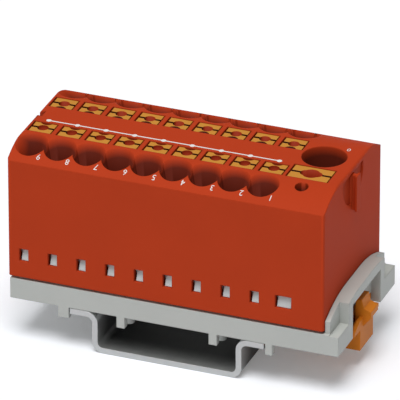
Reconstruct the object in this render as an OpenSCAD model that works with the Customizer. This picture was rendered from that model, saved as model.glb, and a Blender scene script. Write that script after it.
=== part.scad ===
// Push-in power distribution block, clipped by its grey adapter to a short top-hat rail.
// Row frame: the origin is the centre of the rail's underside, +X runs along the rows of
// positions towards the feed-in end, +Y runs from the front row to the back row, +Z is up.
// Block frame, used inside the modules: x from the housing's left end, y from its front
// face, z from its underside. block() puts it into the row frame.

/* [Positions] */
// Small conductor positions in each row
positions = 9; // [4:1:12]
// Spacing of the small positions along the block
pitch = 5.2; // [5:0.1:6]
// Wall ahead of the first small position
end_wall = 0.25; // [0.2:0.05:1]
// Length of the wide feed-in position
feed_len = 9.75; // [9.5:0.05:12]

/* [Housing] */
// Depth of the housing from front face to back face
body_d = 27.9; // [27.4:0.1:32]
// Height of the front and back faces
face_h = 21.8; // [21:0.1:23]
// Height of the flat top
top_h = 24.2; // [24:0.1:27]
// Depth over which the top rises from each face
shoulder_run = 8; // [7:0.1:8.6]
// Rounding of the upright edges and of the ends of the top
edge_r = 0.5; // [0.2:0.05:0.8]
// Outer wall round the chambers
wall = 1; // [0.8:0.05:1.2]
// Web between two neighbouring chambers
web = 0.6; // [0.5:0.05:0.7]
// Height of the ceiling of the chambers
ceiling_z = 16; // [15.5:0.1:17]
// Thickness of the middle wall between the two rows
spine = 4; // [3:0.1:4.2]

/* [Wire funnels] */
// Radius of the round hole below a funnel
wire_r = 1.9; // [1.5:0.05:2.1]
// Radius of a funnel's mouth at the level of the flat top
funnel_r = 2.7; // [2.4:0.05:2.8]
// Depth of a funnel below the flat top
funnel_depth = 2.2; // [1.5:0.1:4]
// Distance of the funnels' axes from the front or back face
funnel_y = 3.9; // [3.7:0.05:4.1]

/* [Release buttons] */
// Length of a small button along the row
button_l = 3.85; // [3.4:0.05:4]
// Width of a small button across the row
button_w = 3.4; // [3:0.05:3.5]
// Distance of the small buttons' centres from the middle of the depth
button_off = 4.8; // [4.6:0.05:4.9]
// Depth of a button's top below the flat top
button_drop = 0.1; // [0:0.05:0.3]
// Width of the cross slot in a button
slot_w = 0.3; // [0.2:0.05:0.5]
// Depth of the cross slot
slot_depth = 0.9; // [0.5:0.1:1.5]
// Radius of the round recess for a screwdriver tip
tip_r = 0.85; // [0.5:0.05:1]
// Depth of the round recess
tip_depth = 0.6; // [0.3:0.1:1]
// Radius of the hollow in a small button's inner side
bite_r = 1.6; // [1.2:0.1:2]
// Depth of that hollow
bite = 0.35; // [0.2:0.05:0.5]
// Height of that hollow
bite_h = 1.2; // [0.6:0.1:2]
// Thickness of the collar that keeps a button in
collar_t = 0.9; // [0.6:0.1:1.2]
// How far the collar stands out in front and behind
collar_out = 0.45; // [0.3:0.05:0.6]
// Length of a button's stem along the row
stem_l = 2.4; // [1.5:0.1:3]
// Width of a button's stem
stem_w = 1.8; // [1:0.1:2.4]
// Travel of a button when it is pressed
button_travel = 1.2; // [0.8:0.1:1.4]

/* [Feed-in position] */
// Distance of the feed-in axis from the end of the small positions
feed_in_x = 3.9; // [3.85:0.05:4.6]
// Distance of the feed-in axis behind the middle of the depth
feed_off = 2; // [1.9:0.05:2.2]
// Radius of the feed-in hole
feed_r = 3; // [2.5:0.05:3.2]
// Radius of the feed-in funnel's mouth
feed_funnel_r = 3.75; // [3.4:0.05:3.8]
// Length of the feed-in button
feed_button_l = 7; // [5:0.1:7.1]
// Width of the feed-in button
feed_button_w = 4.3; // [3.6:0.05:4.4]
// Distance of the feed-in button's centre ahead of the middle of the depth
feed_button_off = 4.4; // [4.35:0.05:4.8]
// Radius of the round recess in the feed-in button
feed_tip_r = 1.5; // [0.8:0.1:1.8]
// Radius of the test hole
test_r = 1.15; // [0.8:0.05:1.3]
// Distance of the test hole from the front face
test_y = 5; // [4:0.1:5.2]

/* [Contact windows] */
// Width of a small window
window_w = 1.65; // [1:0.05:2]
// Width of the feed-in window
feed_window_w = 2.9; // [2:0.1:4]
// Lower edge of the windows
window_z = 3.05; // [2.5:0.05:3.3]
// Height of the windows
window_h = 2.35; // [1.5:0.05:3]
// Distance of the feed-in window's centre ahead of the feed-in axis
feed_window_off = 1.35; // [0:0.05:2]

/* [Dovetail coupling] */
// Width of the tongue where it leaves the end face
tongue_neck = 1.3; // [1:0.1:1.6]
// Width of the tongue at its outer face
tongue_head = 1.9; // [1.7:0.1:2.4]
// How far the tongue stands out
tongue_out = 1; // [0.6:0.1:1.2]
// Lower end of the tongue
tongue_z = 16.5; // [14:0.1:18]
// Distance of the tongue's top below the flat top
tongue_drop = 1.2; // [0.8:0.1:2]
// Radius of the shallow round relief behind the tongue
relief_r = 4.9; // [4:0.1:6]
// Depth of that relief
relief = 0.35; // [0.2:0.05:0.5]
// Distance of the relief's centre below the flat top
relief_drop = 1.7; // [1:0.1:3]

/* [Base cover] */
// Thickness of the cover that closes the housing's underside
cover_t = 1.2; // [1:0.1:1.5]
// Width of the rib on the cover that carries the current bar
rib_w = 4; // [2:0.1:6]

/* [Current bar] */
// Thickness of the current bar's sheet
bar_t = 0.9; // [0.6:0.05:1]
// Width of the strip that joins the two rows
bar_w = 7.8; // [7.4:0.1:8.4]
// Height of the bar's underside
bar_z = 3; // [2.6:0.1:3.2]
// Width of a small contact finger
finger_w = 1.8; // [1.4:0.1:2.4]
// Outer radius of a finger's bend
finger_r = 2; // [1.4:0.1:2.4]
// Height of a finger's upper end
finger_top = 12; // [10:0.1:13]
// Height of the finger behind the feed-in window
feed_tab_top = 7; // [6:0.1:9]
// Width of the feed-in contact
feed_finger_w = 6; // [4:0.1:7]

/* [Clamp springs] */
// Thickness of a small clamp spring's strip
spring_t = 0.35; // [0.25:0.05:0.5]
// Width of a small clamp spring
spring_w = 3.4; // [2:0.1:4]
// Outer radius of a small clamp spring's bow
bow_r = 1.7; // [1.3:0.05:1.8]
// Height of the bow's centre above the current bar
bow_rise = 6.3; // [5:0.1:6.6]
// Height of the clamping edge above the current bar
bite_rise = 2.5; // [1.5:0.1:4]
// Thickness of the feed-in clamp spring's strip
feed_spring_t = 0.5; // [0.4:0.05:0.7]
// Width of the feed-in clamp spring
feed_spring_w = 6; // [4:0.1:7]
// Outer radius of the feed-in clamp spring's bow
feed_bow_r = 2.3; // [1.8:0.1:2.6]

/* [Rail adapter] */
// Height of the adapter's side walls
skirt_h = 3.75; // [3.5:0.05:4.5]
// Dark step between the adapter's rim and the housing
rim_gap = 0.5; // [0.3:0.05:0.8]
// Width of that step
rim_w = 0.8; // [0.5:0.05:1.2]
// Thickness of the adapter's side walls
skirt_t = 1.2; // [0.9:0.05:1.5]
// Thickness of the adapter's deck
deck_t = 1.6; // [1.2:0.1:2]
// Distance of the adapter's left end from the housing's left end
adapter_inset = 0.3; // [0:0.05:0.5]
// How far the adapter stands out at the latch end
latch_end = 2.7; // [2.4:0.05:3.2]
// Thickness of the upright that hugs the housing's end
upright_t = 0.9; // [0.7:0.05:1]
// Height of the upright above the housing's underside
upright_h = 3.95; // [3.6:0.05:4.5]
// Drop of the upright's curved shoulders
arch_rise = 2.2; // [1.5:0.1:2.6]
// Depth over which the upright's shoulders curve
arch_run = 10; // [8:0.1:11]
// Distance of the upright's edges from the front and back faces
upright_in = 0.6; // [0.3:0.1:1.5]
// Distance of the two end ribs from the front and back faces
rib_in = 5.2; // [4.6:0.1:5.6]
// Thickness of an end rib
rib_t = 1.9; // [1.4:0.1:2]
// Height of the bar over the latch opening
lintel_h = 1.8; // [1.2:0.1:2.2]
// Step from the adapter's rim down to the corner ledges
ledge_step = 0.15; // [0.05:0.05:0.3]
// Width of the hole in the upright, towards the back
peep_w = 9.7; // [6:0.1:11]
// Radius of the pegs that locate the housing
locator_r = 1; // [0.7:0.1:1.3]
// Height of those pegs
locator_h = 0.9; // [0.5:0.1:0.95]

/* [Rail guides and claw] */
// Depth of the guide pegs under the adapter
peg_drop = 2.05; // [1.5:0.05:2.5]
// Width of the inner guide pegs
inner_peg_w = 1.45; // [1:0.05:2]
// Distance of the inner guide pegs from the rail's middle
inner_peg_x = 7.6; // [6:0.1:9]
// Width of the left outer guide pegs
left_peg_w = 1.95; // [1.2:0.05:2.2]
// Width of the right outer guide pegs
right_peg_w = 1.25; // [1:0.05:2]
// Radius of the stiffening pins behind the inner pegs
pin_r = 0.95; // [0.6:0.05:1.1]
// Distance of those pins from the front and back faces
pin_y = 4; // [3:0.1:4.4]
// Length of those pins below the adapter
pin_drop = 2.8; // [2:0.1:3.5]
// Width of the fixed claw along the rail
claw_w = 9.9; // [6:0.1:12]
// How far the fixed claw reaches under the rail's flange
claw_reach = 1.6; // [1:0.1:2]
// Thickness of the claw's lip
claw_t = 1.15; // [0.8:0.05:1.5]

/* [Foot latch] */
// Thickness of the latch's slide plate
slide_t = 1; // [0.8:0.05:1.1]
// How far the latch reaches under the rail's flange
latch_reach = 1.3; // [0.8:0.1:1.5]
// Travel of the latch when it is pulled out
latch_travel = 1.6; // [1.5:0.1:2.2]
// Width of the latch's end plate
end_plate_w = 11.9; // [10:0.1:12.5]
// Height of the end plate
end_plate_h = 1.8; // [1.4:0.1:2.2]
// Thickness of the end plate's lip
lip_t = 0.7; // [0.5:0.05:0.9]
// Height of the chamfers at the end plate's upper corners
end_chamfer = 1.1; // [0.5:0.1:1.4]
// Thickness of the floor between the end plate and the keel
end_floor_t = 0.4; // [0.3:0.05:0.6]
// Width of the grip below the end plate
grip_w = 6.4; // [4:0.1:8]
// Length of the grip along the slide
grip_l = 2.9; // [2:0.1:3.5]
// Height of the grip
grip_h = 3.95; // [2.5:0.05:4.2]
// Width of the prong that a screwdriver pulls
prong_w = 3.4; // [2.5:0.1:5]
// Height of the prong above the end plate
prong_h = 3.15; // [2:0.05:3.3]
// How far the prong's beak stands out past the adapter
beak_out = 1.4; // [0.8:0.1:1.8]
// Width of the side ledges that carry the slide plate
guide_ledge_w = 1.5; // [1:0.1:1.8]
// Thickness of those ledges
guide_ledge_t = 0.55; // [0.4:0.05:0.6]

/* [Rail] */
// Width of the rail over its flanges
rail_w = 35; // [35:0.5:35.5]
// Outer width of the rail's channel
channel_w = 27; // [26.5:0.5:27]
// Height of the rail
rail_h = 7.5; // [7.5:0.5:15]
// Sheet thickness of the rail
rail_t = 1; // [1:0.1:1.1]
// Outer radius of the rail's bends
rail_bend = 2; // [1.4:0.1:2.2]
// How far the rail's cut ends stand out past the adapter's front and back faces
rail_over = 0.05; // [0:0.05:20]

/* [Fits] */
// Gap between a button and its well, each side
well_gap = 0.15; // [0.1:0.01:0.2]
// Gap between a button's collar and the chamber's ceiling
collar_gap = 0.1; // [0.05:0.01:0.2]
// Gap that a pressed button leaves above its spring
press_gap = 0.15; // [0.05:0.01:0.3]
// Gap round the base cover
cover_gap = 0.05; // [0.02:0.01:0.1]
// Gap between the contact fingers and the housing's wall
finger_gap = 0.15; // [0.05:0.01:0.3]
// Gap round the ends of the current bar
bar_gap = 0.2; // [0.1:0.01:0.4]
// Gap between a clamping edge and the finger it presses on
nip_gap = 0.1; // [0.02:0.01:0.3]
// Gap between the tongue and a neighbouring block's groove
couple_gap = 0.1; // [0.05:0.01:0.15]
// Gap between the adapter's upright and the housing
upright_gap = 0.1; // [0.05:0.01:0.2]
// Gap round the locating pegs
locator_gap = 0.05; // [0.02:0.01:0.1]
// Running gap between the rail's flange and what slides on it
rail_gap = 0.05; // [0.03:0.01:0.1]
// Side gap between the rail's flange tips and the adapter
tip_gap = 0.25; // [0.15:0.01:0.35]
// Running gap round the latch's slide plate
slide_gap = 0.1; // [0.05:0.01:0.2]

/* [Hidden] */
$fn = 48;
eps = 0.01;                      // overshoot of a cut past an open face

row_l = end_wall + positions * pitch;
body_l = row_l + feed_len;
mid_y = body_d / 2;
feed_x = row_l + feed_in_x;
feed_y = mid_y + feed_off;
feed_button_y = mid_y - feed_button_off;
chamber_w = pitch - web;
chamber_d = mid_y - spine / 2 - wall;
feed_chamber_x = row_l + web / 2;
feed_chamber_w = body_l - wall - feed_chamber_x;

bar_top = bar_z + bar_t;
finger_y = wall + finger_gap;    // outer face of the contact fingers
bow_z = bar_top + bow_rise;
bow_y = mid_y - button_off;
spring_top = bow_z + bow_r;
button_top = top_h - button_drop;
collar_top = ceiling_z - collar_gap;
stem_low = spring_top + button_travel + press_gap;
feed_contact_y = feed_y + feed_r + nip_gap;
feed_leg_y = feed_button_y - feed_bow_r;
feed_bow_z = spring_top - feed_bow_r;

end_x = body_l + latch_end;              // outer face at the latch end
upright_x = body_l + upright_gap;
pocket_x = upright_x + upright_t;        // outer face of the upright
skirt_z = -rim_gap - skirt_h;            // underside of the adapter
ledge_z = -rim_gap - ledge_step;
opening_y = rib_in + rib_t;
opening_w = body_d - 2 * opening_y;
lintel_z = upright_h - lintel_h;

rail_x = (body_l + 2 * adapter_inset) / 2;       // middle of the rail
rail_l = body_d + 2 * rail_over;
tip_x = rail_w / 2 + tip_gap;
flange_low = skirt_z - rail_t - 2 * rail_gap;    // level that grips under the flange
claw_low = flange_low - claw_t;

plate_low = skirt_z + guide_ledge_t + slide_gap; // underside of the latch's slide plate
plate_top = plate_low + slide_t;
tunnel_top = plate_top + slide_gap;
tunnel_x = rail_x + channel_w / 2 + rail_bend / 2;
keel_y = opening_y + guide_ledge_w + slide_gap;
keel_w = body_d - 2 * keel_y;
latch_x = tunnel_x + latch_travel / 2;           // inner end of the slide plate
keel_x = rail_x + tip_x;
jaw_x = rail_x + rail_w / 2 - latch_reach;
end_low = skirt_z - 3 * slide_gap;
end_top = end_low + end_plate_h;
grip_low = end_low - grip_h;
prong_top = end_top + prong_h;

base_z = rail_h + rail_gap - skirt_z;            // housing's underside above the rail's

function position_x(i) = end_wall + pitch * (i - 0.5);

// ---- Placing ----

// Puts a shape drawn in the block frame into the row frame.
module block() {
    translate([-rail_x, -mid_y, base_z]) children();
}

// Extrudes a profile drawn in Y and Z along X, from x0 over a length.
module along_x(x0, length) {
    translate([x0, 0, 0]) rotate([90, 0, 90]) linear_extrude(length) children();
}

// Extrudes a profile drawn in X and Z along Y, from y0 over a length.
module along_y(y0, length) {
    translate([0, y0 + length, 0]) rotate([90, 0, 0]) linear_extrude(length) children();
}

// Repeats a shape at both faces, mirrored about the middle of the depth.
module both_rows() {
    children();
    translate([0, body_d, 0]) mirror([0, 1, 0]) children();
}

// Mirrors a shape of the front row into the back row.
module back_row() {
    translate([0, body_d, 0]) mirror([0, 1, 0]) children();
}

// ---- Profiles ----

// Rectangle with four round corners.
module round_rect(w, d, r) {
    translate([r, 0]) square([w - 2 * r, d]);
    translate([0, r]) square([w, d - 2 * r]);
    for (x = [r, w - r], y = [r, d - r]) translate([x, y]) circle(r);
}

// Cross-section with a flat top that falls away in an arc towards both faces.
// The arc is tangent to the top, so its radius follows from its run and its rise.
module shoulder_section(y0, d, z0, z1, run, rise) {
    r = (run * run + rise * rise) / (2 * rise);
    difference() {
        translate([y0, z0]) square([d, z1 - z0]);
        for (side = [0, 1]) translate([y0 + side * d, 0]) mirror([side, 0])
            difference() {
                translate([-eps, z1 - rise]) square([run + eps, rise + eps]);
                translate([run, z1 - r]) circle(r, $fn = 180);
            }
    }
}

// Dovetail in plan: narrow at its root, wide at its outer end.
module dovetail(neck, head, out) {
    polygon([[-eps, -neck / 2], [out, -head / 2], [out, head / 2], [-eps, neck / 2]]);
}

// Quarter of a bent strip, from straight down to straight back.
module strip_bend(r, t) {
    intersection() {
        difference() {
            circle(r);
            circle(r - t);
        }
        translate([-r - eps, -r - eps]) square(r + eps);
    }
}

// ---- Housing ----

// Outer form: the shouldered section, with rounded upright edges and rounded top ends.
module housing_form() {
    intersection() {
        along_x(0, body_l)
            shoulder_section(0, body_d, 0, top_h, shoulder_run, top_h - face_h);
        linear_extrude(top_h + eps) round_rect(body_l, body_d, edge_r);
        along_y(-eps, body_d + 2 * eps) union() {
            translate([0, -edge_r]) round_rect(body_l, top_h + edge_r, edge_r);
        }
    }
}

// Wire funnel: a cone down to a round hole that opens into the chamber.
module funnel(mouth_r, hole_r) {
    slope = (mouth_r - hole_r) / funnel_depth;
    translate([0, 0, ceiling_z - eps]) cylinder(h = top_h - ceiling_z + 2 * eps, r = hole_r);
    translate([0, 0, top_h - funnel_depth])
        cylinder(h = funnel_depth + edge_r, r1 = hole_r, r2 = mouth_r + slope * edge_r);
}

// Well in which a button slides.
module well(l, w) {
    translate([-l / 2 - well_gap, -w / 2 - well_gap, ceiling_z - eps])
        cube([l + 2 * well_gap, w + 2 * well_gap, top_h - ceiling_z + 2 * eps]);
}

module window(x, w) {
    translate([x - w / 2, -eps, window_z]) cube([w, wall + 2 * eps, window_h]);
}

module small_position_cuts(i) {
    translate([position_x(i), 0, 0]) {
        translate([0, funnel_y, 0]) funnel(funnel_r, wire_r);
        translate([0, bow_y, 0]) well(button_l, button_w);
        translate([-chamber_w / 2, wall, -eps]) cube([chamber_w, chamber_d, ceiling_z + eps]);
        window(0, window_w);
    }
}

module feed_position_cuts() {
    translate([feed_x, feed_y, 0]) funnel(feed_funnel_r, feed_r);
    translate([feed_x, feed_button_y, 0]) well(feed_button_l, feed_button_w);
    translate([feed_x, test_y, ceiling_z - eps]) cylinder(h = top_h, r = test_r);
    translate([feed_chamber_x, wall, -eps])
        cube([feed_chamber_w, body_d - 2 * wall, ceiling_z + eps]);
    window(feed_x - feed_window_off, feed_window_w);
}

// Seat of the base cover and the passage of the current bar through the webs.
module underside_cuts() {
    translate([wall, wall, -eps])
        cube([body_l - 2 * wall, body_d - 2 * wall, cover_t + eps]);
    translate([wall, mid_y - bar_w / 2 - bar_gap, -eps])
        cube([body_l - 2 * wall, bar_w + 2 * bar_gap, bar_top + bar_gap + eps]);
}

// Dovetail tongue at the feed-in end, standing in a shallow round relief.
module coupling_tongue() {
    translate([body_l - relief, mid_y, tongue_z])
        linear_extrude(top_h - tongue_drop - tongue_z)
            dovetail(tongue_neck, tongue_head, tongue_out + relief);
}

module coupling_groove() {
    translate([-eps, mid_y, tongue_z - couple_gap])
        linear_extrude(top_h)
            dovetail(tongue_neck + 2 * couple_gap, tongue_head + 2 * couple_gap,
                     tongue_out + couple_gap);
}

module relief_cut() {
    along_x(body_l - relief, relief + eps)
        translate([mid_y, top_h - relief_drop]) intersection() {
            circle(relief_r);
            translate([-relief_r, -relief_r]) square([2 * relief_r, relief_r + relief_drop / 2]);
        }
}

module housing() {
    color("orangered") block() {
        difference() {
            housing_form();
            for (i = [1:positions]) both_rows() small_position_cuts(i);
            feed_position_cuts();
            underside_cuts();
            coupling_groove();
            relief_cut();
        }
        coupling_tongue();
    }
}

// Plate that closes the underside, with a rib that carries the current bar.
module base_cover() {
    gap = wall + cover_gap;
    color("firebrick") block() difference() {
        union() {
            translate([gap, gap, 0]) cube([body_l - 2 * gap, body_d - 2 * gap, cover_t - cover_gap]);
            translate([wall + bar_gap, mid_y - rib_w / 2, 0])
                cube([body_l - 2 * (wall + bar_gap), rib_w, bar_z]);
        }
        locators(locator_r + locator_gap, locator_h + locator_gap);
    }
}

// ---- Current path ----

// Both fingers of one position: strip, bend and upright contact on either side.
module finger_section(top) {
    translate([finger_y + finger_r, bar_z]) square([mid_y - finger_y - finger_r, bar_t]);
    translate([finger_y + finger_r, bar_z + finger_r]) strip_bend(finger_r, bar_t);
    translate([finger_y, bar_z + finger_r]) square([bar_t, top - bar_z - finger_r]);
}

// Feed-in contact: it rises behind the feed-in hole.
module feed_contact_section() {
    y = feed_contact_y + bar_t;
    translate([mid_y, bar_z]) square([y - mid_y - finger_r, bar_t]);
    translate([y - finger_r, bar_z + finger_r]) mirror([1, 0]) strip_bend(finger_r, bar_t);
    translate([y - bar_t, bar_z + finger_r])
        square([bar_t, finger_top - bar_z - finger_r]);
}

module current_bar() {
    x0 = wall + bar_gap;
    color("lightgray") block() {
        translate([x0, mid_y - bar_w / 2, bar_z]) cube([body_l - 2 * x0, bar_w, bar_t]);
        for (i = [1:positions]) both_rows()
            along_x(position_x(i) - finger_w / 2, finger_w) finger_section(finger_top);
        along_x(feed_x - feed_finger_w / 2, feed_finger_w) {
            feed_contact_section();
            translate([feed_leg_y - feed_spring_t, bar_z])
                square([mid_y - feed_leg_y + feed_spring_t, bar_t]);
        }
        along_x(feed_x - feed_window_off - feed_window_w / 2, feed_window_w)
            finger_section(feed_tab_top);
    }
}

// Clamp spring in section: fixed leg on the bar, bow under the button and clamping leg
// slanting to the contact. leg_y is the fixed leg's outer face, and nip_y the contact's.
module spring_section(leg_y, nip_y, r, t, top) {
    bow_c = leg_y - r;
    low = bar_top + bite_rise;
    translate([leg_y - t, bar_top]) square([t, top - bar_top]);
    translate([bow_c, top]) intersection() {
        difference() {
            circle(r);
            circle(r - t);
        }
        translate([-r - eps, 0]) square([2 * (r + eps), r + eps]);
    }
    polygon([[nip_y, low + t / 2], [nip_y + t, low], [bow_c - r + t, top], [bow_c - r, top]]);
}

module front_clamp_spring(i) {
    color("silver") along_x(position_x(i) - spring_w / 2, spring_w)
        spring_section(bow_y + bow_r, finger_y + bar_t + nip_gap, bow_r, spring_t, bow_z);
}

module feed_clamp_spring() {
    color("silver") block() along_x(feed_x - feed_spring_w / 2, feed_spring_w)
        translate([2 * feed_button_y, 0]) mirror([1, 0])
            spring_section(feed_button_y + feed_bow_r, 2 * feed_button_y - feed_contact_y + nip_gap,
                           feed_bow_r, feed_spring_t, feed_bow_z);
}

// ---- Release buttons ----

// Button with a cross slot, a round recess for the tool, a collar under the ceiling and
// a stem over the spring's bow. Its origin is on the axis of its well.
module button_body(l, w, recess_r, room) {
    difference() {
        translate([-l / 2, -w / 2, ceiling_z - eps]) cube([l, w, button_top - ceiling_z + eps]);
        translate([-l / 2 - eps, -slot_w / 2, button_top - slot_depth])
            cube([l + 2 * eps, slot_w, slot_depth + eps]);
        translate([0, 0, button_top - tip_depth]) cylinder(h = tip_depth + eps, r = recess_r);
    }
    translate([-l / 2, -w / 2, collar_top - collar_t]) cube([l, w, ceiling_z - collar_top + collar_t]);
    translate([-l / 2, -w / 2 - collar_out, collar_top - collar_t])
        cube([l, w + 2 * collar_out, collar_t]);
    translate([-stem_l / 2, -stem_w / 2, stem_low])
        cube([stem_l, stem_w, collar_top - collar_t - stem_low + eps]);
}

module front_button(i) {
    bite_y = button_w / 2 - bite + bite_r;
    color("darkorange") translate([position_x(i), bow_y, 0]) difference() {
        button_body(button_l, button_w, tip_r);
        translate([0, bite_y, button_top - bite_h]) cylinder(h = bite_h + eps, r = bite_r);
    }
}

module feed_button() {
    color("darkorange") block() translate([feed_x, feed_button_y, 0])
        button_body(feed_button_l, feed_button_w, feed_tip_r);
}

// ---- Rail adapter ----

module locators(r, h) {
    for (x = [pitch, row_l], y = [mid_y / 2, body_d - mid_y / 2])
        translate([x, y, -eps]) cylinder(h = h + eps, r = r);
}

// Rim and deck: a shallow box open downwards, whose deck carries the housing.
module adapter_shell() {
    difference() {
        translate([adapter_inset, 0, skirt_z]) cube([end_x - adapter_inset, body_d, skirt_h]);
        translate([adapter_inset + skirt_t, skirt_t, skirt_z - eps])
            cube([pocket_x - adapter_inset - 2 * skirt_t, body_d - 2 * skirt_t,
                  -deck_t - skirt_z + eps]);
        translate([pocket_x, -eps, ledge_z]) cube([latch_end + eps, body_d + 2 * eps, ledge_step + eps]);
    }
    translate([adapter_inset + rim_w, rim_w, -deck_t])
        cube([body_l - adapter_inset - 2 * rim_w, body_d - 2 * rim_w, deck_t]);
    locators(locator_r, locator_h);
}

// Upright that hugs the housing's end, with the bar over the latch opening and two ribs.
module adapter_end() {
    intersection() {
        along_x(upright_x, end_x - upright_x)
            shoulder_section(upright_in, body_d - 2 * upright_in, skirt_z, upright_h,
                             arch_run, arch_rise);
        union() {
            translate([upright_x, 0, skirt_z]) cube([upright_t, body_d, upright_h - skirt_z]);
            translate([pocket_x - eps, rib_in, lintel_z])
                cube([end_x - pocket_x + eps, body_d - 2 * rib_in, lintel_h]);
            for (y = [rib_in, body_d - rib_in - rib_t]) translate([pocket_x - eps, y, skirt_z])
                cube([end_x - pocket_x + eps, rib_t, upright_h - skirt_z]);
        }
    }
}

// Opening at the end and tunnel under the deck in which the latch slides.
module latch_passage() {
    translate([pocket_x, opening_y, skirt_z - eps])
        cube([latch_end, opening_w, lintel_z - skirt_z + eps]);
    translate([tunnel_x, opening_y, skirt_z - eps])
        cube([end_x - tunnel_x, opening_w, tunnel_top - skirt_z + eps]);
    translate([upright_x - eps, opening_y, skirt_z])
        cube([upright_t + 2 * eps, peep_w, lintel_z - skirt_z]);
}

// Walls with a lower and an upper ledge, between which the latch's slide plate runs.
module latch_guides() {
    length = pocket_x - keel_x;
    both_rows() translate([keel_x, opening_y - skirt_t, skirt_z]) {
        cube([length, skirt_t, -deck_t - skirt_z + eps]);
        cube([length, skirt_t + guide_ledge_w, guide_ledge_t]);
        translate([0, 0, tunnel_top - skirt_z])
            cube([length, skirt_t + guide_ledge_w, -deck_t - tunnel_top + eps]);
    }
}

// Cross ribs that rest on the rail's two flanges.
module flange_ribs() {
    for (x = [rail_x - rail_w / 2 + rail_bend, rail_x + channel_w / 2 - rail_t])
        translate([x, skirt_t - eps, skirt_z])
            cube([skirt_t, body_d - 2 * skirt_t + 2 * eps, -deck_t - skirt_z + eps]);
}

// Pegs that keep the adapter square on the rail, and the pins behind the inner ones.
module rail_pegs() {
    top = -deck_t + eps;
    both_rows() {
        translate([rail_x - tip_x - left_peg_w, 0, skirt_z - peg_drop])
            cube([left_peg_w, skirt_t, top - skirt_z + peg_drop]);
        translate([rail_x + tip_x, 0, skirt_z - peg_drop])
            cube([right_peg_w, skirt_t, top - skirt_z + peg_drop]);
        for (side = [-1, 1]) {
            x = rail_x + side * (inner_peg_x + inner_peg_w / 2);
            translate([x - inner_peg_w / 2, 0, skirt_z - peg_drop])
                cube([inner_peg_w, skirt_t, top - skirt_z + peg_drop]);
            translate([x, pin_y, skirt_z - pin_drop])
                cylinder(h = top - skirt_z + pin_drop, r = pin_r);
        }
    }
}

// Fixed claw that hooks under the rail's left flange.
module rail_claw() {
    x = rail_x - tip_x;
    along_y(mid_y - claw_w / 2, claw_w)
        polygon([[x - left_peg_w, claw_low], [x + claw_reach, claw_low],
                 [x + tip_gap + claw_reach, flange_low], [x, flange_low],
                 [x, -deck_t + eps], [x - left_peg_w, -deck_t + eps]]);
}

module rail_adapter() {
    color("darkgray") block() {
        difference() {
            union() {
                adapter_shell();
                adapter_end();
                flange_ribs();
            }
            latch_passage();
        }
        latch_guides();
        rail_pegs();
        rail_claw();
    }
}

// ---- Foot latch ----

// Keel and jaw in section along the slide.
module keel_section() {
    x = end_x - grip_l + eps;
    polygon([[keel_x, plate_low + eps], [keel_x, flange_low], [jaw_x, flange_low],
             [jaw_x + claw_t / 2, claw_low], [x, claw_low], [x, plate_low + eps]]);
}

// Prong with a beak, pulled outwards by a screwdriver.
module prong_section() {
    polygon([[end_x, end_low], [end_x + beak_out, end_top],
             [end_x + beak_out, end_top + prong_h / 3], [end_x + slide_gap, end_top + prong_h / 2],
             [end_x - 3 * slide_gap, prong_top], [pocket_x + 3 * slide_gap, prong_top],
             [pocket_x + 2 * slide_gap, end_low]]);
}

module end_plate_section() {
    y = mid_y - end_plate_w / 2;
    chamfer = (end_plate_w - grip_w) / 2;
    low = end_top - end_chamfer;
    polygon([[y, end_low], [y + end_plate_w, end_low], [y + end_plate_w, low],
             [y + end_plate_w - chamfer, end_top], [y + chamfer, end_top], [y, low]]);
}

module foot_latch() {
    color("darkorange") block() {
        translate([latch_x, opening_y + slide_gap, plate_low])
            cube([pocket_x - latch_x, opening_w - 2 * slide_gap, slide_t]);
        along_y(keel_y, keel_w) keel_section();
        along_x(end_x - lip_t, lip_t) end_plate_section();
        translate([end_x - grip_l, keel_y, end_low]) cube([grip_l, keel_w, end_floor_t]);
        translate([end_x - grip_l, mid_y - grip_w / 2, grip_low])
            cube([grip_l, grip_w, end_low - grip_low + eps]);
        along_y(mid_y - prong_w / 2, prong_w) prong_section();
    }
}

// ---- Rail ----

// Half of the top-hat section: base, bend, leg, bend and flange.
module rail_half_section() {
    leg = channel_w / 2;
    square([leg - rail_bend, rail_t]);
    translate([leg - rail_bend, rail_bend]) mirror([1, 0]) strip_bend(rail_bend, rail_t);
    translate([leg - rail_t, rail_bend]) square([rail_t, rail_h - 2 * rail_bend]);
    translate([leg - rail_t + rail_bend, rail_h - rail_bend])
        mirror([0, 1]) strip_bend(rail_bend, rail_t);
    translate([leg - rail_t + rail_bend, rail_h - rail_t])
        square([rail_w / 2 - leg + rail_t - rail_bend, rail_t]);
}

module din_rail() {
    color("gainsboro") along_y(-rail_l / 2, rail_l) {
        rail_half_section();
        mirror([1, 0]) rail_half_section();
    }
}

housing();
base_cover();
current_bar();
rail_adapter();
foot_latch();
din_rail();
feed_button();
feed_clamp_spring();
for (i = [1:positions]) {
    block() front_button(i);
    block() back_row() front_button(i);
    block() front_clamp_spring(i);
    block() back_row() front_clamp_spring(i);
}
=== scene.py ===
# %% [markdown]
# # A push-in distribution block on its rail
# The block joins many thin conductors to one thick one. Each conductor is pushed into a
# funnel in the red housing, and an amber button above its spring lets it go again.
# The shapes come from the CAD frame. This script gives every piece its finish, adds what
# is printed on the housing, and builds the stage, the light and the camera.

# %% Load the frame
import math

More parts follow.
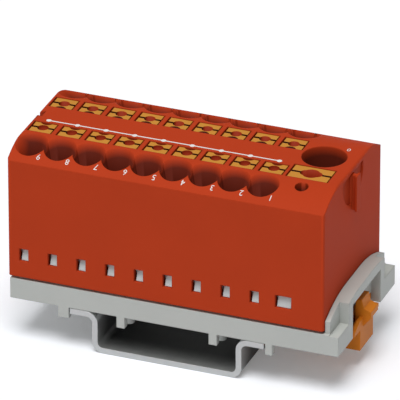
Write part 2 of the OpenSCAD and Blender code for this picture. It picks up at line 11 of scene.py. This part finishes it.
import bmesh
import bpy
import numpy as np
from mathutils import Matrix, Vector


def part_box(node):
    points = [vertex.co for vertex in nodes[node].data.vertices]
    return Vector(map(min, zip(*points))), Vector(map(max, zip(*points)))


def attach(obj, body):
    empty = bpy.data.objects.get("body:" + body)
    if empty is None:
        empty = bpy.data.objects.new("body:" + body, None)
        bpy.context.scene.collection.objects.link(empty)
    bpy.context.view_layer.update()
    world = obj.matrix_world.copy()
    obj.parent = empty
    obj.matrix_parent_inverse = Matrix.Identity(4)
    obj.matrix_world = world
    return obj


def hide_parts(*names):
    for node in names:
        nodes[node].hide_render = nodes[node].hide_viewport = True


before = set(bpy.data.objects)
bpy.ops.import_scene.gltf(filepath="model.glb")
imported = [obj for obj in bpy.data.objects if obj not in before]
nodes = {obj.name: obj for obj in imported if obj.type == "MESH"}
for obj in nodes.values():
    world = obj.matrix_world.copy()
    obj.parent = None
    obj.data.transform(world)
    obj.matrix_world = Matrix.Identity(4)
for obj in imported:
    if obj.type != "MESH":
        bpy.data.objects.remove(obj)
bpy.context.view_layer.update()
MM = 0.001

# %% [markdown]
# ## Measuring the frame
# Nothing is placed by eye. The centres of the buttons give the nine positions of a row and
# their spacing, and the housing's box gives the level of its flat top.

# %% Positions from the nodes' boxes
def middle(node):
    low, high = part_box(node)
    return (low + high) / 2

housing_low, housing_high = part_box("housing")
row_x = np.array([middle(f"front_button_{i}").x for i in range(1, 10)])
pitch = float(np.diff(row_x).mean())
front_row_y, back_row_y = middle("front_button_1").y, middle("back_button_1").y
top_z = housing_high.z
print("pitch", round(pitch / MM, 3), "mm; flat top at", round(top_z / MM, 3), "mm")

# %% [markdown]
# ## Writing shader maths as Python
# A finish is a small graph of nodes. Wrapping a socket in a class with operators turns
# that graph into an expression that can be read aloud. Only numbers pass through the
# operators, because a Math node would turn a colour grey.

# %% A socket with operators
class Signal:
    """One number that varies over a surface: the output socket of a node."""

    def __init__(self, graph, socket):
        self.graph, self.socket = graph, socket

    def math(self, operation, other, swap=False):
        pair = (other, self) if swap else (self, other)
        return self.graph.node("ShaderNodeMath", {"operation": operation}, {0: pair[0], 1: pair[1]})

    def __add__(self, other):
        return self.math("ADD", other)

    def __radd__(self, other):
        return self.math("ADD", other)

    def __sub__(self, other):
        return self.math("SUBTRACT", other)

    def __rsub__(self, other):
        return self.math("SUBTRACT", other, swap=True)

    def __mul__(self, other):
        return self.math("MULTIPLY", other)

    def __rmul__(self, other):
        return self.math("MULTIPLY", other)

    def __truediv__(self, other):
        return self.math("DIVIDE", other)

    def least(self, other):
        return self.math("MINIMUM", other)

    def most(self, other):
        return self.math("MAXIMUM", other)

    def size(self):
        return self.math("ABSOLUTE", 0.0)

    def root(self):
        return self.math("SQRT", 0.0)

    def ramp(self, start, end):
        """0 before start, 1 past end, and a straight line between them."""
        return ((self - start) / (end - start)).most(0.0).least(1.0)

# %% A graph that makes any node in one call
class Finish:
    """A material whose nodes are added by node(type, settings, sockets)."""

    def __init__(self, name):
        self.material = bpy.data.materials.new(name)
        self.material.use_nodes = True
        self.tree = self.material.node_tree
        self.shader = self.tree.nodes["Principled BSDF"]

    def node(self, kind, settings=None, sockets=None, output=0):
        made = self.tree.nodes.new(kind)
        for key, value in (settings or {}).items():
            setattr(made, key, value)
        for key, value in (sockets or {}).items():
            self.plug(made.inputs[key], value)
        return Signal(self, made.outputs[output])

    def plug(self, socket, value):
        if isinstance(value, Signal):
            self.tree.links.new(value.socket, socket)
        else:
            socket.default_value = value

    def set(self, **values):
        for key, value in values.items():
            self.plug(self.shader.inputs[key.replace("_", " ")], value)

    def where(self):
        return self.node("ShaderNodeTexCoord", output="Object")

    def along(self, axis):
        return self.node("ShaderNodeSeparateXYZ", {}, {"Vector": self.where()}, output=axis)

    def noise(self, scale, detail=2.0):
        return self.node("ShaderNodeTexNoise", {}, {"Vector": self.where(), "Scale": scale, "Detail": detail})

    def blend(self, amount, dark, light):
        mix = self.tree.nodes.new("ShaderNodeMix")
        mix.data_type = "RGBA"
        for key, value in ((0, amount), (6, dark), (7, light)):
            self.plug(mix.inputs[key], value)
        return Signal(self, mix.outputs[2])

def shade(colour, factor):
    """A linear colour times a factor, as the four numbers that a socket takes."""
    return tuple(c * factor for c in colour) + (1.0,)

print("graph helpers ready")

# %% [markdown]
# ## Moulded plastic
# Injection-moulded polyamide copies the mould's spark-eroded grain: a fine, even bump that
# breaks the highlight up. Its colour drifts by a few per cent where the melt cooled at
# different speeds. The bevel node rounds each edge by a tenth or two of a millimetre in
# shading, as the mould's own radii do, so edges catch a thin line of light. Inside a hole the
# red is painted darker with depth, as painted shade, so the depth under the skin is worked out first.

# %% How deep a point lies under the housing's skin
SHOULDER_RUN, SHOULDER_RISE = 8.0 * MM, 2.4 * MM
SHOULDER_R = (SHOULDER_RUN ** 2 + SHOULDER_RISE ** 2) / (2 * SHOULDER_RISE)
TONGUE = 1.0 * MM
mid_y = (housing_low.y + housing_high.y) / 2
half_y = (housing_high.y - housing_low.y) / 2

def skin_depth(f):
    """The least of the distances to the ends, the front and back, the underside and the roof.
    The roof is flat, then drops by R - sqrt(R^2 - s^2), with s the run past the flat part."""
    x, across, z = f.along("X"), (f.along("Y") - mid_y).size(), f.along("Z")
    run = (across - (half_y - SHOULDER_RUN)).most(0.0)
    roof = (SHOULDER_R ** 2 - run * run).root() + (top_z - SHOULDER_R)
    ends = (x - housing_low.x).least(housing_high.x - TONGUE - x)
    return (roof - z).least(half_y - across).least(ends).least(z - housing_low.z)

# %% A finish for moulded plastic
def moulded(name, colour, rough=0.5, drift=0.06, grain=0.006, edge=0.18, gloss=0.3, pit_shade=None):
    """The pit shade argument is (colour, shallow, deep): painted shade, a darker colour painted on
    the plastic in a deep hole, standing in for light that has bounced from red walls many times and lost its
    strength."""
    f = Finish(name)
    cloud = f.noise(90.0, 3.0)
    fine = f.noise(5200.0, 2.0)
    skin = f.blend(cloud, shade(colour, 1 - drift), shade(colour, 1 + drift))
    if pit_shade:
        # Painted shade: below the shallow depth under the skin the colour turns towards the darker pit
        # colour.
        skin = f.blend(skin_depth(f).ramp(pit_shade[1], pit_shade[2]), skin, shade(pit_shade[0], 1.0))
    f.set(Base_Color=skin)
    f.set(Roughness=rough - 0.05 + 0.1 * cloud)
    f.shader.inputs["Specular IOR Level"].default_value = gloss
    rounded = f.node("ShaderNodeBevel", {"samples": 6}, {"Radius": edge * MM})
    f.set(Normal=f.node("ShaderNodeBump", {}, {"Strength": 0.25, "Distance": grain * MM,
                                               "Height": fine, "Normal": rounded}))
    return f

# The third colour given to the housing is painted shade for the inside of its holes.
red = moulded("housing_red", (0.475, 0.046, 0.011), rough=0.62, gloss=0.06, edge=0.3,
              pit_shade=((0.13, 0.017, 0.008), 0.05 * MM, 1.6 * MM))
# The housing's red seen in the buttons' recesses, painted a little darker as painted shade.
shaded_recess_red = moulded("recess_red", (0.36, 0.034, 0.01), rough=0.6, gloss=0.1)
# A near black red lining for the buttons' slots and hollows: painted shade.
slot_shade_red = moulded("slot_shade_red", (0.07, 0.013, 0.007), rough=0.7, gloss=0.05)
cover_red = moulded("cover_red", (0.4, 0.04, 0.011), rough=0.6, gloss=0.2)
amber = moulded("button_amber", (0.6, 0.25, 0.022), rough=0.42, grain=0.003, edge=0.12, gloss=0.4)
orange = moulded("latch_orange", (0.62, 0.185, 0.01), rough=0.5, edge=0.15, gloss=0.2)
grey = moulded("adapter_grey", (0.5, 0.515, 0.485), rough=0.5, edge=0.25, gloss=0.25)
print("plastics:", [f.material.name for f in (red, cover_red, amber, orange, grey)])

# %% [markdown]
# ## Metals
# Tin plating on the current bar is bright but soft, so it carries fine lengthwise scratches.
# Spring steel is smoother and darker. The rail is zinc-plated sheet: matte, with a faint
# mottle and streaks along the direction in which it was rolled. Away from its ends, under the
# block, the rail is painted dark as painted shade.

# %% A finish for sheet metal
def sheet_metal(name, colour, rough, streak=(60.0, 1800.0, 1800.0), mottle=0.05, metallic=1.0, edge=0.1,
                shade_under_block=None):
    """The shade under block argument is (colour, half length, run): painted shade, metal that takes that
    colour far from its two cut ends in Y, where the block above shades the rail.
    """
    f = Finish(name)
    stretched = f.node("ShaderNodeMapping", {}, {"Vector": f.where(), "Scale": streak})
    lines = f.node("ShaderNodeTexNoise", {}, {"Vector": stretched, "Scale": 1.0, "Detail": 2.0})
    cloud = f.noise(220.0, 2.0)
    skin = f.blend(cloud, shade(colour, 1 - mottle), shade(colour, 1 + mottle))
    # Painted shade: the metal grows darker towards its middle, which lies in the block's shade.
    if shade_under_block:
        inwards = shade_under_block[1] - f.along("Y").size()
        skin = f.blend(inwards.ramp(0.1 * MM, shade_under_block[2]), skin, shade(shade_under_block[0], 1.0))
    f.set(Base_Color=skin)
    f.set(Roughness=rough - 0.08 + 0.16 * lines)
    f.shader.inputs["Metallic"].default_value = metallic
    rounded = f.node("ShaderNodeBevel", {"samples": 6}, {"Radius": edge * MM})
    f.set(Normal=f.node("ShaderNodeBump", {}, {"Strength": 0.2, "Distance": 0.003 * MM,
                                               "Height": lines, "Normal": rounded}))
    return f

tin = sheet_metal("tinned_copper", (0.82, 0.83, 0.82), 0.45)
steel = sheet_metal("spring_steel", (0.55, 0.56, 0.58), 0.3)
# The rail's covered middle is painted dark grey as painted shade.
zinc = sheet_metal("zinc_steel", (0.6, 0.61, 0.6), 0.5, streak=(1800.0, 60.0, 1800.0), mottle=0.07,
                   shade_under_block=((0.2, 0.2, 0.2), 14.0 * MM, 5.0 * MM))
print("metals:", [f.material.name for f in (tin, steel, zinc)])

# %% [markdown]
# ## Giving each CAD node its finish
# A node keeps its mesh. Only the material in its slot changes.

# %% Assign the finishes
FINISH_OF = {"housing": red, "base_cover": cover_red, "rail_adapter": grey, "foot_latch": orange,
             "din_rail": zinc, "current_bar": tin}

def finish_of(node):
    return FINISH_OF.get(node, amber if "button" in node else steel)

for name, obj in nodes.items():
    material = finish_of(name).material
    if not obj.data.materials:
        obj.data.materials.append(material)
    for i in range(len(obj.data.materials)):
        obj.data.materials[i] = material
print("finished", len(nodes), "nodes")

# %% [markdown]
# ## Tools that cut
# Funnels, slots and recesses are holes, and a hole is easiest to describe by the body that
# would fill it. Each cutter below is a closed surface worked out on a grid: either a ring
# of radius r(z) turned about an upright axis, or a flat outline swept upwards. A Boolean
# modifier then takes the cutters away from a welded copy of the CAD piece.

# %% Closed surfaces from arrays
def grid_faces(n, m, wrap=False):
    """Quads of an n by m grid of points stored row by row; wrap joins the last column to the first."""
    i, j = np.meshgrid(np.arange(n - 1), np.arange(m if wrap else m - 1), indexing="ij")
    a, b = (i * m + j).ravel(), (i * m + (j + 1) % m).ravel()
    return np.stack([a, b, b + m, a + m], axis=1)

def closed_rings(rings):
    """Faces of a stack of equal rings, from the lowest to the highest, closed by two caps."""
    n, m = rings.shape[:2]
    caps = [list(range(m))[::-1], [(n - 1) * m + k for k in range(m)]]
    return rings.reshape(-1, 3), grid_faces(n, m, wrap=True).tolist() + caps

def turned(centre, heights, radii, around=96):
    """Point (u, v): centre + r(z_v) * (cos u, sin u), at height z_v."""
    u = np.linspace(0, 2 * np.pi, around, endpoint=False)
    ring = np.stack([np.cos(u), np.sin(u), np.zeros(around)], axis=-1)
    rings = np.array(radii)[:, None, None] * ring[None]
    rings[..., 0] += centre[0]
    rings[..., 1] += centre[1]
    rings[..., 2] = np.array(heights)[:, None]
    return closed_rings(rings)

def swept_up(outline, low, high):
    """A flat outline, counter-clockwise seen from above, swept from low to high."""
    rings = np.zeros((2, len(outline), 3))
    rings[..., :2] = outline
    rings[0, :, 2], rings[1, :, 2] = low, high
    return closed_rings(rings)

def stadium(x, y, length, radius, around=24):
    """Two half circles of that radius, joined: angle u gives the side's centre + r (cos u, sin u)."""
    u = np.linspace(-np.pi / 2, 1.5 * np.pi, around, endpoint=False)
    side = np.where(np.cos(u) >= -1e-9, 1.0, -1.0) * (length / 2 - radius)
    return np.stack([x + side + radius * np.cos(u), y + radius * np.sin(u)], axis=-1)

def rectangle(x, y, length, width):
    corner = np.array([[-1, -1], [1, -1], [1, 1], [-1, 1]])
    return np.array([x, y]) + corner * np.array([length, width]) / 2

# %% From arrays to a piece
def joined(parts):
    """Several (points, faces) as one: each part's faces count on from the points before it."""
    starts = np.cumsum([0] + [len(points) for points, _ in parts])
    faces = [[start + k for k in face] for start, part in zip(starts, parts) for face in part[1]]
    return np.concatenate([points for points, _ in parts]), faces

def new_object(name, points, faces):
    mesh = bpy.data.meshes.new(name)
    mesh.from_pydata(points.tolist(), [], faces)
    made = bpy.data.objects.new(name, mesh)
    bpy.context.scene.collection.objects.link(made)
    return made

def add_piece(name, points, faces, finish, body="block"):
    piece = new_object(name, points, faces)
    piece.data.materials.append(finish.material)
    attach(piece, body)
    return piece

# %% Normals from the shape's own formula
def true_normals(mesh):
    """A corner on a flat face square to an axis takes the face's normal. One on the roof takes
    the circle's, (0, sin a, cos a) with sin a = s / R. The rest keep what smoothing gives."""
    corner, which = np.empty(len(mesh.loops) * 3), np.empty(len(mesh.loops), int)
    face, sides = np.empty(len(mesh.polygons) * 3), np.empty(len(mesh.polygons), int)
    co = np.empty(len(mesh.vertices) * 3)
    mesh.corner_normals.foreach_get("vector", corner)
    mesh.vertices.foreach_get("co", co)
    mesh.polygons.foreach_get("normal", face)
    mesh.loops.foreach_get("vertex_index", which)
    mesh.polygons.foreach_get("loop_total", sides)
    corner, face = corner.reshape(-1, 3), np.repeat(face.reshape(-1, 3), sides, axis=0)
    spot = co.reshape(-1, 3)[which]
    square = np.abs(face).max(axis=1) > 0.99999
    corner[square] = face[square]
    out = spot[:, 1] - mid_y
    run = np.maximum(np.abs(out) - (half_y - SHOULDER_RUN), 0)
    sine = np.sign(out) * run / SHOULDER_R
    roof = np.stack([0 * sine, sine, np.sqrt(1 - sine ** 2)], -1)
    off_roof = np.abs(spot[:, 2] - top_z + SHOULDER_R - np.sqrt(SHOULDER_R ** 2 - run ** 2))
    near = (off_roof < 0.05 * MM) & ((roof * face).sum(axis=1) > math.cos(math.radians(6.0)))
    corner[near] = roof[near]
    mesh.normals_split_custom_set(corner.tolist())

# %% Cutting a welded copy of a CAD piece
def settle(piece):
    """Replace the mesh by what its modifiers make of it."""
    graph = bpy.context.evaluated_depsgraph_get()
    done = bpy.data.meshes.new_from_object(piece.evaluated_get(graph))
    piece.modifiers.clear()
    piece.data = done

def welded_copy(node, finish):
    mesh = nodes[node].data.copy()
    weld = bmesh.new()
    weld.from_mesh(mesh)
    bmesh.ops.remove_doubles(weld, verts=weld.verts, dist=0.001 * MM)
    weld.to_mesh(mesh)
    weld.free()
    mesh.materials.clear()
    mesh.materials.append(finish.material)
    piece = bpy.data.objects.new(node + "_carved", mesh)
    bpy.context.scene.collection.objects.link(piece)
    return piece

def merge_flat_faces(mesh):
    flat = bmesh.new()
    flat.from_mesh(mesh)
    bmesh.ops.dissolve_limit(flat, angle_limit=math.radians(0.3), verts=flat.verts,
                             edges=flat.edges, delimit={"MATERIAL"})
    flat.to_mesh(mesh)
    flat.free()

# %% A carved piece
def carved(node, cutters, finish, body, linings=()):
    """The copy less the cutters, in place of the node. A cutter with a lining leaves its finish."""
    piece = welded_copy(node, finish)
    tool = new_object(node + "_cutters", *joined(cutters))
    for lining in linings:
        tool.data.materials.append(lining.material)
    if linings:
        slots = np.repeat(np.arange(len(cutters)), [len(faces) for _, faces in cutters])
        tool.data.polygons.foreach_set("material_index", slots)
    cut = piece.modifiers.new("cut", "BOOLEAN")
    cut.operation, cut.solver, cut.use_self, cut.object = "DIFFERENCE", "EXACT", True, tool
    cut.material_mode = "TRANSFER" if linings else "INDEX"
    settle(piece)
    bpy.data.objects.remove(tool)
    merge_flat_faces(piece.data)
    piece.data.polygons.foreach_set("use_smooth", np.ones(len(piece.data.polygons), bool))
    piece.data.set_sharp_from_angle(angle=math.radians(35.0))
    true_normals(piece.data)
    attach(piece, body)
    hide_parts(node)
    return piece

# %% [markdown]
# ## The housing's funnels and wells
# A conductor is steered by a steep funnel that starts almost as wide as the spacing, so
# neighbouring mouths meet in a sharp web. The funnels of the frame are shallower, and are
# deepened here. Each button also gets its shadow gap, and the coupling tongue its slot.

# %% Funnels and wells
PROUD = 1.0 * MM                       # how far each cutter stands above what it cuts
FUNNEL_TOP_R, FUNNEL_LOW_R, FUNNEL_DEEP, FUNNEL_OUT = 2.92 * MM, 1.97 * MM, 4.6 * MM, 10.05 * MM
FEED_TOP_R, FEED_LOW_R, FEED_OUT = 3.88 * MM, 2.98 * MM, 2.0 * MM
BUTTON_WIDTH, FEED_BUTTON_WIDTH = 3.4 * MM, 4.3 * MM
GAP_AT_ENDS, GAP_AT_SIDES, WELL_DEEP = 0.27 * MM, 0.16 * MM, 8.0 * MM
feed_x = middle("feed_button").x

def funnel_cutter(x, y, wide, narrow):
    z = np.array([top_z - FUNNEL_DEEP, top_z, top_z + PROUD])
    slope = (wide - narrow) / FUNNEL_DEEP
    return turned((x, y), z, [narrow, wide, wide + slope * PROUD])

def well_cutter(node):
    low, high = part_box(node)
    width = FEED_BUTTON_WIDTH if node == "feed_button" else BUTTON_WIDTH
    outline = rectangle(middle(node).x, middle(node).y, high.x - low.x + 2 * GAP_AT_ENDS,
                        width + 2 * GAP_AT_SIDES)
    return swept_up(outline, top_z - WELL_DEEP, top_z + PROUD)

cutters = [funnel_cutter(x, mid_y + side * FUNNEL_OUT, FUNNEL_TOP_R, FUNNEL_LOW_R)
           for x in row_x for side in (-1, 1)]
cutters.append(funnel_cutter(feed_x, mid_y + FEED_OUT, FEED_TOP_R, FEED_LOW_R))
cutters += [well_cutter(node) for node in nodes if "button" in node]
print("funnels and wells:", len(cutters), "cutters")

# %% The slots beside the tongue's neck, and the cut
NECK_SLOT, NECK_OUT, NECK_CLEAR = (0.65 * MM, 1.0 * MM), 0.9 * MM, 0.01 * MM
neck_x = housing_high.x - TONGUE + NECK_CLEAR + NECK_SLOT[0] / 2
cutters += [swept_up(rectangle(neck_x, mid_y + side * NECK_OUT, *NECK_SLOT),
                     top_z - 7.9 * MM, top_z - 1.0 * MM) for side in (-1, 1)]
housing = carved("housing", cutters, red, "block")
print("housing:", len(housing.data.polygons), "faces after", len(cutters), "cuts")

# %% [markdown]
# ## The buttons
# A screwdriver is set in the round-ended recess. The wide slot and the two hollows leave a
# bow-tie of plastic on the side that faces the middle of the block.

# %% Slots, recesses and hollows
SLOT_WIDTH, SLOT_DEEP = 0.55 * MM, 1.5 * MM
RECESS = (1.95 * MM, 0.97 * MM, 1.15 * MM)          # length, end radius, depth
FEED_RECESS = (3.9 * MM, 0.95 * MM, 1.9 * MM)
FEED_CUP_R, FEED_CUP_DEEP = 1.52 * MM, 1.95 * MM
HOLLOW_R, HOLLOW_BITE, HOLLOW_DEEP = 1.15 * MM, 0.6 * MM, 1.9 * MM

def button_cutters(node):
    """The slot, the recess, and a hollow whose circle bites HOLLOW_BITE into the inner side."""
    low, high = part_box(node)
    x, y, top = middle(node).x, middle(node).y, high.z + PROUD
    feed = node == "feed_button"
    length, radius, deep = FEED_RECESS if feed else RECESS
    slot = swept_up(rectangle(x, y, high.x - low.x + PROUD, SLOT_WIDTH), high.z - SLOT_DEEP, top)
    recess = swept_up(stadium(x, y, length, radius), high.z - deep, top)
    if feed:
        return [slot, recess, turned((x, y), [high.z - FEED_CUP_DEEP, top], [FEED_CUP_R] * 2)]
    hollow_y = y + math.copysign(BUTTON_WIDTH / 2 - HOLLOW_BITE + HOLLOW_R, mid_y - y)
    return [slot, recess, turned((x, hollow_y), [high.z - HOLLOW_DEEP, top], [HOLLOW_R] * 2)]

buttons = []
for node in sorted(name for name in nodes if "button" in name):
    # Linings: the slots, and the hollows of the ordinary buttons, take the near black painted shade; the
    # recesses and the feed button's cup take the recess red, darkened as painted shade.
    linings = [slot_shade_red, shaded_recess_red, shaded_recess_red if node == "feed_button" else slot_shade_red]
    buttons.append(carved(node, button_cutters(node), amber, node, linings))
print(len(buttons), "buttons carved")

# %% [markdown]
# ## Contact tabs in the windows
# Behind each small window stands a tab of the tinned bar, where a test probe can touch it. It
# leans away from the window as it rises. The tab is a sheet of constant thickness: a slightly
# bowed line, the same line one thickness further in, and both carried across the window.

# %% Tabs
TAB_LOW, TAB_RISE = housing_low.z + 3.11 * MM, 2.25 * MM
TAB_NEAR, TAB_LEAN, TAB_BOW, TAB_THICK = 0.35 * MM, 0.95 * MM, 0.12 * MM, 0.5 * MM
TAB_WIDTH, TAB_SHIFT = 1.24 * MM, 0.09 * MM
FEED_TAB_WIDTH, FEED_TAB_SHIFT = 2.45 * MM, -1.3 * MM

def tab(x, width, side):
    """Depth behind the face at height fraction t: near + lean * t - bow * sin(pi t)."""
    t = np.linspace(0, 1, 9)
    depth = TAB_NEAR + TAB_LEAN * t - TAB_BOW * np.sin(np.pi * t)
    section = np.stack([np.append(depth, depth[::-1] + TAB_THICK),
                        TAB_LOW + TAB_RISE * np.append(t, t[::-1])], -1)
    rings = np.zeros((2, len(section), 3))
    rings[..., 0] = x + np.array([-0.5, 0.5])[:, None] * width
    rings[..., 1] = mid_y + side * (half_y - section[:, 0])
    rings[..., 2] = section[:, 1]
    return closed_rings(rings if side > 0 else rings[::-1])

tab_list = [tab(x + TAB_SHIFT, TAB_WIDTH, side) for x in row_x for side in (-1, 1)]
tab_list.append(tab(feed_x + FEED_TAB_SHIFT, FEED_TAB_WIDTH, -1))
add_piece("contact_tabs", *joined(tab_list), tin)
print(len(tab_list), "tabs")

# %% [markdown]
# ## The printed bus line
# A white line with a dot at each position says that all positions share one current bar.
# It is a film of ink, so it is one flat strip whose half width changes along its length:
# narrow on the line and the half chord of a circle near each dot.

# %% White ink
ink = Finish("white_ink")
speck = ink.noise(2600.0, 2.0)
ink.set(Base_Color=ink.blend(speck, shade((0.8, 0.78, 0.76), 0.97), shade((0.86, 0.84, 0.82), 1.0)))
ink.set(Roughness=0.5 + 0.1 * speck)

# %% The line with its dots
LINE_HALF, DOT_RADIUS, INK_LIFT = 0.15 * MM, 0.45 * MM, 0.02 * MM
BUS_TO_FRONT = 2.15 * MM
bus_y = (front_row_y + back_row_y) / 2 - BUS_TO_FRONT

def bus_line():
    """Strip along X. At u the half width is the larger of the line's half width and
    the half chord sqrt(R^2 - (u - c)^2) of the nearest dot with centre c."""
    angle = np.linspace(0, np.pi, 17)
    offsets = -DOT_RADIUS * np.cos(angle)
    u = (row_x[:, None] + offsets[None, :]).ravel()
    chord = np.tile(np.sqrt(np.maximum(DOT_RADIUS ** 2 - offsets ** 2, 0)), len(row_x))
    half = np.maximum(chord, LINE_HALF)
    half[[0, -1]] = 0.2 * LINE_HALF
    v = np.array([-1.0, 1.0])
    points = np.empty((2, len(u), 3))
    points[..., 0] = u
    points[..., 1] = bus_y + half * v[:, None]
    points[..., 2] = top_z + INK_LIFT
    return points

strip = bus_line()
add_piece("printed_bus_line", strip.reshape(-1, 3), grid_faces(*strip.shape[:2]).tolist(), ink)
print("bus line", round((strip[..., 0].max() - strip[..., 0].min()) / MM, 2), "mm long")

# %% [markdown]
# ## Position numbers
# Each funnel is marked in the same ink with a plain number, read from the back. A text
# object gives the shapes. They are made a mesh, and each point is then dropped onto the
# shoulder, whose height follows from a circle that is tangent to the flat top.

# %% Numbers on the shoulders
def shoulder_z(y):
    """Height of the top at y: flat, then R - sqrt(R^2 - s^2) lower, s past the flat part."""
    s = np.maximum(np.abs(y - mid_y) - (half_y - SHOULDER_RUN), 0)
    return top_z - SHOULDER_R + np.sqrt(SHOULDER_R ** 2 - s ** 2)

def number(text, x, y, size):
    """The text half a turn round, (x, y) less the point, laid on the roof."""
    curve = bpy.data.curves.new("digits", "FONT")
    curve.body, curve.size, curve.align_x, curve.align_y = text, size, "CENTER", "CENTER"
    curve.resolution_u = 3
    source = bpy.data.objects.new("digits", curve)
    flat = bpy.data.meshes.new_from_object(source)
    bpy.data.objects.remove(source)
    co = np.empty(len(flat.vertices) * 3)
    flat.vertices.foreach_get("co", co)
    co = co.reshape(-1, 3)
    placed = np.stack([x - co[:, 0], y - co[:, 1], shoulder_z(y - co[:, 1]) + INK_LIFT], -1)
    return placed, [list(p.vertices) for p in flat.polygons]

NUMBER_SIZE, NUMBER_OUT, FRONT_SHIFT, BACK_SHIFT = 1.45 * MM, 12.45 * MM, 2.3 * MM, 1.5 * MM
FEED_NUMBER_SIZE, FEED_NUMBER_AT = 1.35 * MM, (2.97 * MM, 5.85 * MM)
front = [number(str(9 - i), x + FRONT_SHIFT, mid_y - NUMBER_OUT, NUMBER_SIZE) for i, x in enumerate(row_x)]
back = [number(str(10 + i), x + BACK_SHIFT, mid_y + NUMBER_OUT, NUMBER_SIZE) for i, x in enumerate(row_x)]
feed = number("0", feed_x + FEED_NUMBER_AT[0], mid_y + FEED_NUMBER_AT[1], FEED_NUMBER_SIZE)
add_piece("position_numbers", *joined(front + back + [feed]), ink)
print(len(front + back) + 1, "numbers")

# %% [markdown]
# ## The stage
# A white floor under the rail, a large soft light above and a little in front, and a plain
# white surround. The floor shows white to the camera but keeps the block's shadow.

# %% Floor
FLOOR_SPAN, FLOOR_Z = 8.0, -0.05 * MM
corners = np.insert(rectangle(0, 0, FLOOR_SPAN, FLOOR_SPAN), 2, FLOOR_Z, axis=1)
floor = new_object("floor", corners, [[0, 1, 2, 3]])

paper = Finish("paper_white")
paper.set(Base_Color=(0.86, 0.88, 0.92, 1.0), Roughness=0.9)
paper.shader.inputs["Specular IOR Level"].default_value = 0.0
glow = paper.node("ShaderNodeEmission", {}, {"Color": (1.0, 1.0, 1.0, 1.0), "Strength": 0.17})
seen = paper.node("ShaderNodeLightPath", output="Is Camera Ray")
both = paper.node("ShaderNodeAddShader", {}, {0: Signal(paper, paper.shader.outputs[0]), 1: glow})
mixed = paper.node("ShaderNodeMixShader", {}, {0: seen, 1: Signal(paper, paper.shader.outputs[0]), 2: both})
paper.tree.links.new(mixed.socket, paper.tree.nodes["Material Output"].inputs["Surface"])
floor.data.materials.append(paper.material)
print("floor", FLOOR_SPAN, "m wide")

# %% [markdown]
# ## The surround and the softbox
# The surround is white to the camera. To the pieces it is a dimmer room, darker on the right
# than on the left, so the two visible sides differ. One wide soft sun does the rest.

# %% Surround and softbox
world = bpy.data.worlds.new("surround")
bpy.context.scene.world = world
world.use_nodes = True
sky = world.node_tree
path = sky.nodes.new("ShaderNodeLightPath")
either = sky.nodes.new("ShaderNodeMath")
either.operation = "MAXIMUM"
strength = sky.nodes.new("ShaderNodeMapRange")
sky.links.new(path.outputs["Is Camera Ray"], either.inputs[0])
sky.links.new(path.outputs["Is Transmission Ray"], either.inputs[1])
sky.links.new(either.outputs[0], strength.inputs["Value"])
strength.inputs["To Max"].default_value = 1.0
side = sky.nodes.new("ShaderNodeSeparateXYZ")
fall = sky.nodes.new("ShaderNodeMapRange")
sky.links.new(sky.nodes.new("ShaderNodeTexCoord").outputs["Generated"], side.inputs[0])
sky.links.new(side.outputs["X"], fall.inputs["Value"])
fall.inputs["From Min"].default_value, fall.inputs["From Max"].default_value = -1.0, 1.0
fall.inputs["To Min"].default_value, fall.inputs["To Max"].default_value = 0.34, 0.2
sky.links.new(fall.outputs[0], strength.inputs["To Min"])
sky.links.new(strength.outputs[0], sky.nodes["Background"].inputs["Strength"])
sky.nodes["Background"].inputs["Color"].default_value = (1.0, 1.0, 1.0, 1.0)

def sun(name, direction, strength, angle):
    lamp = bpy.data.lights.new(name, "SUN")
    lamp.energy, lamp.angle = strength, math.radians(angle)
    obj = bpy.data.objects.new(name, lamp)
    obj.rotation_mode = "QUATERNION"
    obj.rotation_quaternion = Vector(direction).to_track_quat("Z", "Y")
    bpy.context.scene.collection.objects.link(obj)

sun("softbox", (0.02, -0.32, 0.95), 2.4, 34.0)

print("softbox lit")

# %% [markdown]
# ## The camera
# A long lens far away keeps the block's edges nearly parallel, as product pictures do.

# %% Camera
TARGET = Vector((0.664, 0.05, 24.749)) * MM
AZIMUTH, ELEVATION, DISTANCE = math.radians(21.077), math.radians(27.495), 1.2511
outwards = Vector((math.sin(AZIMUTH) * math.cos(ELEVATION),
                   -math.cos(AZIMUTH) * math.cos(ELEVATION), math.sin(ELEVATION)))
lens = bpy.data.cameras.new("camera")
FOCAL_PER_WIDTH = 18.5285             # focal length over sensor width
lens.sensor_width, lens.lens = 36.0, 36.0 * FOCAL_PER_WIDTH
lens.clip_start, lens.clip_end = 0.1, 20.0
camera = bpy.data.objects.new("camera", lens)
camera.location = TARGET + outwards * DISTANCE
camera.rotation_mode = "QUATERNION"
camera.rotation_quaternion = (-outwards).to_track_quat("-Z", "Y")
bpy.context.scene.collection.objects.link(camera)
bpy.context.scene.camera = camera
bpy.context.scene.view_settings.view_transform = "Standard"
print("lens", round(lens.lens, 1), "mm")
